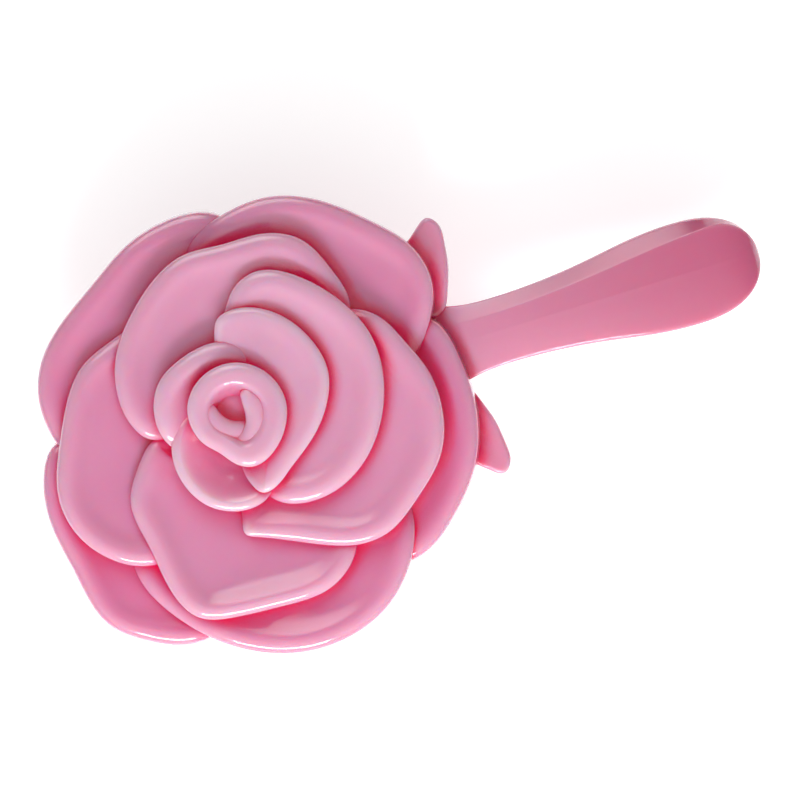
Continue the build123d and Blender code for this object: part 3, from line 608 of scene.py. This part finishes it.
plate = turned("plate", eased([
    (HUB_R, SEAM_Z), (HEAD_R - SEAM_GROOVE, SEAM_Z), (HEAD_R, SEAM_Z + GROOVE_RISE),
    (HEAD_R, PLATE_Z - PLATE_EDGE), (HEAD_R - PLATE_EDGE, PLATE_Z), (HUB_R, PLATE_Z)], EDGE_EASE))
handle_front = handle_half("handle_front", HANDLE_CREST, shouldered, rounded(SOFT_SIDE),
                           upward=1, first_x=FRONT_FROM_X)
sepals = [sepal("sepal_left", 1), recalculated(sepal("sepal_right", -1))]
front = polished(united([plate, handle_front, *sepals], "front_moulding"), crease_degrees=45)
# The handle is paler at its root and deeper at its tip: a painted sheen.
shell_plastic = moulded_abs(
    "polished pink ABS, handle", "X", start=52, stop=136,
    first_colour="F0A2C2", last_colour="E07098", thin=1.2)
front.data.materials.append(shell_plastic)
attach(front, "brush_body")
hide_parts("front_shell")

# ---------------------------------------------------------------------------------------------
# Back moulding: the round tray that holds the air cushion, and the back half of the handle,
# rounded for the fingers. It meets the front moulding along a fine parting groove.
# ---------------------------------------------------------------------------------------------
RING_Z = 18.6               # lower edge of the tray
TRAY_R = 47.9               # bore that takes the ring
LEDGE_R = 44.3
LEDGE_Z = 21.9              # ledge that the cushion's flange is clamped against
TRAY_FLOOR_Z = 26.0
TRAY_EDGE = (0.8, 1.0)      # width and height of the chamfer round the lower edge
BACK_FROM_X = 47.0
# The back's crest and the sides of its section, as for the front.
HANDLE_BACK = [(38.0, 6.6), (60.0, 6.6), (90.0, 6.6), (120.0, 6.6), (HANDLE_TIP_X, 6.3)]
BACK_ROUND = [(1.0, 0.0), (1.0, 0.35), (0.95, 0.70), (0.82, 0.92), (0.6, 1.0), (0.3, 1.0),
              (0.0, 1.0)]


tray = recalculated(turned("tray", eased([
    (HUB_R, TRAY_FLOOR_Z), (LEDGE_R, TRAY_FLOOR_Z), (LEDGE_R, LEDGE_Z), (TRAY_R, LEDGE_Z),
    (TRAY_R, RING_Z), (HEAD_R - TRAY_EDGE[0], RING_Z), (HEAD_R, RING_Z + TRAY_EDGE[1]),
    (HEAD_R, SEAM_Z - GROOVE_RISE), (HEAD_R - SEAM_GROOVE, SEAM_Z), (HUB_R, SEAM_Z)], EDGE_EASE)))
handle_back = handle_half("handle_back", HANDLE_BACK, rounded(BACK_ROUND), rounded(BACK_ROUND),
                          upward=-1, first_x=BACK_FROM_X)
back = polished(united([tray, handle_back], "back_moulding"), crease_degrees=45)
back.data.materials.append(shell_plastic)
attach(back, "brush_body")
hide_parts("back_shell")

# ---------------------------------------------------------------------------------------------
# Retaining ring: a snap ring of the same ABS, pushed into the tray over the cushion's flange.
# Its edges are well rounded, so that they don't cut the rubber.
# ---------------------------------------------------------------------------------------------
RING_BORE_R = 44.0
CLAMP_Z = 21.0              # where the ring meets the flange
RING_GAP = 0.05             # between ring and tray
RING_EASE = 0.9


def turned_hoop(name, corners, radius, around=192):
    """A closed hoop turned from a closed (radius, height) outline with eased corners."""
    corners = np.asarray(corners, float)
    middle = (corners[0] + corners[1]) / 2
    outline = eased(np.vstack([middle, corners[1:], corners[:1], middle]), radius)[:-1]
    turn = np.linspace(0, 2 * np.pi, around, endpoint=False)
    rows = len(outline)
    points = np.stack([outline[:, :1] * np.cos(turn), outline[:, :1] * np.sin(turn),
                       np.broadcast_to(outline[:, 1:], (rows, around))], axis=-1).reshape(-1, 3)
    here = np.arange(rows * around).reshape(rows, around)
    beside, above = np.roll(here, -1, axis=1), np.roll(here, -1, axis=0)
    quads = np.stack([here, beside, np.roll(beside, -1, axis=0), above], axis=-1).reshape(-1, 4)
    return recalculated(mesh_piece(name, points, quads.tolist()))


ring = polished(turned_hoop("cushion_ring", [
    (RING_BORE_R, CLAMP_Z), (TRAY_R - RING_GAP, CLAMP_Z), (TRAY_R - RING_GAP, RING_Z),
    (RING_BORE_R, RING_Z)], RING_EASE), crease_degrees=50)
ring.data.materials.append(moulded_abs(
    "polished pink ABS, ring", "Z", start=18, stop=22,
    first_colour="ED98BE", last_colour="ED98BE", thin=1.2))
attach(ring, "brush_body")
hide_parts("retaining_ring")

# ---------------------------------------------------------------------------------------------
# Air cushion: a moulded rubber dome, soft and satin, clamped at its edge. Pressing the pins
# flattens the real one towards the clamp; the mesh is the dome at rest.
# ---------------------------------------------------------------------------------------------
FACE_Z = 15.2
CUSHION_R = 43.7
DOME_POWER = 3.4            # a higher power is flatter in the middle and steeper at the edge
DOME_ROWS = 40
RUBBER = 1.2                # thickness of the face
EDGE_RUBBER = 0.9           # and of the steep edge, measured sideways
FLANGE_R = 47.6


def cushion_level(radius):
    """Height of the cushion's outer face: a superellipse over the distance from the axis."""
    fallen = np.sqrt(np.clip(1 - (np.asarray(radius) / CUSHION_R) ** DOME_POWER, 0, 1))
    return CLAMP_Z - (CLAMP_Z - FACE_Z) * fallen


outward = CUSHION_R * np.sin(np.linspace(0.02, np.pi / 2, DOME_ROWS))
outer = np.column_stack([outward, cushion_level(outward)])
flange = [(FLANGE_R, CLAMP_Z), (FLANGE_R, LEDGE_Z), (CUSHION_R - 1, LEDGE_Z)]
homeward = outward[::-1]
inner = np.column_stack([homeward - EDGE_RUBBER * (homeward / CUSHION_R) ** 6,
                         np.minimum(cushion_level(homeward) + RUBBER, LEDGE_Z)])
cushion = recalculated(turned("air_cushion", np.vstack([outer, flange, inner])))
polished(cushion, crease_degrees=60)


def satin_rubber(name, hex_value, grain_mm=0.4, grain_depth=0.04):
    """Thermoplastic rubber from a spark-eroded tool: satin, with a fine grain that dulls it."""
    material = bpy.data.materials.new(name)
    tree = emptied_tree(material)
    place = add(tree, "ShaderNodeTexCoord").outputs["Object"]
    grain = add(tree, "ShaderNodeTexNoise",
                {"Vector": place, "Scale": 1 / (grain_mm * MM), "Detail": 2.0}).outputs[0]
    bump = add(tree, "ShaderNodeBump",
               {"Height": grain, "Strength": 0.25, "Distance": grain_depth * MM}).outputs[0]
    shade = add(tree, "ShaderNodeMapRange", {0: grain, 3: 0.93, 4: 1.05}).outputs[0]
    tint = add(tree, "ShaderNodeVectorMath", {0: colour(hex_value)[:3], 1: shade},
               operation="MULTIPLY").outputs[0]
    shader = add(tree, "ShaderNodeBsdfPrincipled", {
        "Base Color": tint, "Roughness": 0.52, "IOR": 1.5, "Normal": bump,
        "Subsurface Weight": 0.3, "Subsurface Radius": (1.0, 0.4, 0.4),
        "Subsurface Scale": 2 * MM})
    add(tree, "ShaderNodeOutputMaterial", {"Surface": shader.outputs[0]})
    return material


cushion.data.materials.append(satin_rubber("satin pink rubber", "E9B7C8"))
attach(cushion, "brush_body")
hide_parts("cushion_skirt")
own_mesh(cushion)

# ---------------------------------------------------------------------------------------------
# Styling pins: nylon, moulded with a flared root, a tapered shank and a ball tip, and pushed
# through the rubber in a hexagonal field.
# ---------------------------------------------------------------------------------------------
PIN_PITCH = 4.0
PIN_FIELD_R = 38.2
PIN_SIDES = 10
PIN_SUNK = 0.3              # how far a root reaches into the rubber
BALL_R = 0.72
BALL_DEGREES = (12, 45, 80, 115, 146)       # rows of the ball, counted from its lowest point
SHANK_R = (0.44, 0.52, 0.62, 0.95, 1.05)    # neck, middle, and foot, slope and top of the flare
NECK_Z = 2.0
FLARE_FOOT, FLARE_SLOPE = 1.6, 0.7          # below the root

row_step = PIN_PITCH * np.sqrt(3) / 2
most_rows = int(PIN_FIELD_R / row_step)
most_columns = int(PIN_FIELD_R / PIN_PITCH) + 2
row, column = np.meshgrid(np.arange(-most_rows, most_rows + 1),
                          np.arange(-most_columns, most_columns + 1), indexing="ij")
pin_x, pin_y = (column + 0.5 * (row % 2)) * PIN_PITCH, row * row_step
in_field = np.hypot(pin_x, pin_y) <= PIN_FIELD_R + 1e-6
pin_x, pin_y = pin_x[in_field], pin_y[in_field]
root = cushion_level(np.hypot(pin_x, pin_y)) + PIN_SUNK

# Every pin is one profile of radii and heights, turned about its own axis and closed by a fan
# at the tip and at the root.
ball = np.radians(BALL_DEGREES)
pin_radius = np.concatenate([BALL_R * np.sin(ball), SHANK_R])
pin_level = np.concatenate([
    np.broadcast_to(BALL_R - BALL_R * np.cos(ball), (len(root), len(ball))),
    np.stack([0 * root + NECK_Z, 0.5 * root, root - FLARE_FOOT, root - FLARE_SLOPE, root], axis=1)],
    axis=1)
turn = np.linspace(0, 2 * np.pi, PIN_SIDES, endpoint=False)
rings = np.stack(np.broadcast_arrays(
    pin_x[:, None, None] + pin_radius[:, None] * np.cos(turn),
    pin_y[:, None, None] + pin_radius[:, None] * np.sin(turn), pin_level[..., None]), axis=-1)
ends = np.stack([np.column_stack([pin_x, pin_y, 0 * pin_x]),
                 np.column_stack([pin_x, pin_y, root])], axis=1)
count, levels = pin_level.shape
here = np.arange(count * levels * PIN_SIDES).reshape(count, levels, PIN_SIDES)
beside = np.roll(here, -1, axis=2)
quads = np.stack([here[:, :-1], beside[:, :-1], beside[:, 1:], here[:, 1:]], axis=-1)
tip_point = here.size + 2 * np.arange(count)[:, None] + 0 * here[:, 0]
tips = np.stack([beside[:, 0], here[:, 0], tip_point], axis=-1).reshape(-1, 3)
roots = np.stack([here[:, -1], beside[:, -1], tip_point + 1], axis=-1).reshape(-1, 3)
pins = polished(mesh_piece("styling_pins", np.vstack([rings.reshape(-1, 3), ends.reshape(-1, 3)]),
                           quads.reshape(-1, 4).tolist() + tips.tolist() + roots.tolist()),
                crease_degrees=60)


def moulded_nylon(name, dark, pale, streak_mm=1.2):
    """Nylon straight from the mould: semi-gloss, slightly clear, so thin shanks glow a little."""
    material = bpy.data.materials.new(name)
    tree = emptied_tree(material)
    place = add(tree, "ShaderNodeTexCoord").outputs["Object"]
    streak = add(tree, "ShaderNodeTexNoise",
                 {"Vector": place, "Scale": 1 / (streak_mm * MM), "Detail": 1.0}).outputs[0]
    gloss = add(tree, "ShaderNodeMapRange", {0: streak, 3: 0.2, 4: 0.34}).outputs[0]
    tint = add(tree, "ShaderNodeMix", {0: streak, 6: colour(dark), 7: colour(pale)},
               data_type="RGBA").outputs[2]
    shader = add(tree, "ShaderNodeBsdfPrincipled", {
        "Base Color": tint, "Roughness": gloss, "IOR": 1.53, "Subsurface Weight": 0.4,
        "Subsurface Radius": (1.0, 0.3, 0.4), "Subsurface Scale": 1.5 * MM})
    add(tree, "ShaderNodeOutputMaterial", {"Surface": shader.outputs[0]})
    return material


pins.data.materials.append(moulded_nylon("moulded pink nylon", "C9527A", "D46A8E"))
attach(pins, "pin_field")
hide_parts(*[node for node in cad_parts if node.startswith("pin_strip")])

# ---------------------------------------------------------------------------------------------
# Cover screws: zinc-plated steel, driven up through the floor of the tray to hold tray, head
# plate and rose together. The cushion hides them, so the CAD solids stay and get a finish.
# ---------------------------------------------------------------------------------------------
def zinc_plated(name, hex_value, spangle_mm=0.8):
    """Zinc-plated steel: a soft metallic shine, broken up by the spangle of the plating."""
    material = bpy.data.materials.new(name)
    tree = emptied_tree(material)
    place = add(tree, "ShaderNodeTexCoord").outputs["Object"]
    spangle = add(tree, "ShaderNodeTexNoise", {"Vector": place, "Scale": 1 / (spangle_mm * MM)})
    gloss = add(tree, "ShaderNodeMapRange", {0: spangle.outputs[0], 3: 0.25, 4: 0.45}).outputs[0]
    shader = add(tree, "ShaderNodeBsdfPrincipled",
                 {"Base Color": colour(hex_value), "Metallic": 1.0, "Roughness": gloss})
    add(tree, "ShaderNodeOutputMaterial", {"Surface": shader.outputs[0]})
    return material


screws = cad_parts["cover_screws"]
screws.data.materials.clear()
screws.data.materials.append(zinc_plated("zinc-plated steel", "B9BABD"))

# ---------------------------------------------------------------------------------------------
# Stage: a pale paper floor under the pins and a long lens straight above the rose, turned so
# that the handle points up to the right. One soft window and the bright side of the room lie
# towards the bottom of the picture, and a small bright patch of the room towards its top.
# ---------------------------------------------------------------------------------------------
MM_PER_PIXEL = 0.2633       # scale of the photograph at the height of the petals
HANDLE_TILT = np.radians(17.0)
HEAD_PIXEL = (262, 403)     # the head's axis in the photograph
FRAME_PIXELS = 800
LOOK_Z = 40.0               # height that the camera is aimed at, among the petals
CAMERA_AWAY = 2.2           # metres
SENSOR_MM = 36
# Sides of the room, to the right and up in the picture and towards the camera, each with the
# cosine to it at which the light starts to grow, and the light's strength there and at full.
BRIGHT_SIDE = ((0.1, -1.0, 0.7), 0.4, 0.2, 1.05)
BRIGHT_PATCH = ((-0.3, 1.0, 0.85), 0.90, 0.0, 2.2)     # the handle's bevel mirrors it
FLOOR_HALF = 3000           # half of the paper's width
FLOOR_GLOW = 0.55           # lifts the paper to white where it is seen or mirrored

right = np.array([np.cos(HANDLE_TILT), -np.sin(HANDLE_TILT), 0])
up = np.array([np.sin(HANDLE_TILT), np.cos(HANDLE_TILT), 0])
aim = (FRAME_PIXELS / 2 - HEAD_PIXEL[0]) * right - (FRAME_PIXELS / 2 - HEAD_PIXEL[1]) * up
aim = (aim * MM_PER_PIXEL + (0, 0, LOOK_Z)) * MM
camera_data = bpy.data.cameras.new("camera")
camera_data.sensor_width = SENSOR_MM
camera_data.lens = SENSOR_MM * CAMERA_AWAY / (FRAME_PIXELS * MM_PER_PIXEL * MM)
camera_data.clip_end = 20
camera = bpy.data.objects.new("camera", camera_data)
camera.location = aim + (0, 0, CAMERA_AWAY)
camera.rotation_euler = (0, 0, -HANDLE_TILT)
bpy.context.scene.collection.objects.link(camera)
bpy.context.scene.camera = camera


def softbox(name, toward, elevation, distance, size, watts):
    """A rectangular lamp aimed at the rose, with its distance and size in metres.

    It is placed by its side of the picture, to the right and up, and its elevation in degrees."""
    lamp = bpy.data.lights.new(name, "AREA")
    lamp.shape, lamp.size, lamp.size_y, lamp.energy = "RECTANGLE", *size, watts
    flat = toward[0] * right + toward[1] * up
    flat = flat / np.linalg.norm(flat)
    tilt = np.radians(elevation)
    way = flat * np.cos(tilt) + np.array([0, 0, np.sin(tilt)])
    holder = bpy.data.objects.new(name, lamp)
    holder.location = aim + way * distance
    holder.rotation_euler = Vector(way).to_track_quat("Z", "Y").to_euler()
    bpy.context.scene.collection.objects.link(holder)


def side_light(tree, way, side, start, dim, full):
    """Strength of the room's light: a smoothstep of the cosine between a direction and a side."""
    side = side[0] * right + side[1] * up + np.array([0, 0, side[2]])
    side = side / np.linalg.norm(side)
    facing = add(tree, "ShaderNodeVectorMath", {0: way, 1: side.tolist()}, operation="DOT_PRODUCT")
    return add(tree, "ShaderNodeMapRange",
               {0: facing.outputs["Value"], 1: start, 2: 1.0, 3: dim, 4: full},
               interpolation_type="SMOOTHSTEP").outputs[0]


softbox("window below", toward=(-0.05, -1.0), elevation=40, distance=0.9, size=(0.46, 0.16),
        watts=3.8)

world = bpy.data.worlds.new("bright room")
tree = emptied_tree(world)
ray = add(tree, "ShaderNodeLightPath")
way = add(tree, "ShaderNodeTexCoord").outputs["Generated"]
room = add(tree, "ShaderNodeMath", {0: side_light(tree, way, *BRIGHT_SIDE),
                                    1: side_light(tree, way, *BRIGHT_PATCH)}, operation="ADD")
strength = add(tree, "ShaderNodeMix",
               {0: ray.outputs["Is Camera Ray"], 2: room.outputs[0], 3: 1.0}).outputs[0]
sky = add(tree, "ShaderNodeBackground", {"Color": (1, 1, 1, 1), "Strength": strength})
add(tree, "ShaderNodeOutputWorld", {"Surface": sky.outputs[0]})
bpy.context.scene.world = world

floor_corners = FLOOR_HALF * np.array([(-1, -1, 0), (1, -1, 0), (1, 1, 0), (-1, 1, 0)])
floor = mesh_piece("floor", floor_corners, [(0, 1, 2, 3)])
paper = bpy.data.materials.new("white paper sweep")
tree = emptied_tree(paper)
ray = add(tree, "ShaderNodeLightPath").outputs
matt = add(tree, "ShaderNodeBsdfDiffuse", {"Color": colour("F4F4F4")}).outputs[0]
glow = add(tree, "ShaderNodeEmission", {"Color": (1, 1, 1, 1), "Strength": FLOOR_GLOW}).outputs[0]
shown = add(tree, "ShaderNodeAddShader", {0: matt, 1: glow}).outputs[0]
seen = add(tree, "ShaderNodeMath", {0: ray["Is Camera Ray"], 1: ray["Is Glossy Ray"]},
           operation="MAXIMUM").outputs[0]
seen = add(tree, "ShaderNodeMath", {0: seen, 1: ray["Is Transmission Ray"]},
           operation="MAXIMUM").outputs[0]
sheet = add(tree, "ShaderNodeMixShader", {0: seen, 1: matt, 2: shown})
add(tree, "ShaderNodeOutputMaterial", {"Surface": sheet.outputs[0]})
floor.data.materials.append(paper)

bpy.context.scene.view_settings.view_transform = "Standard"
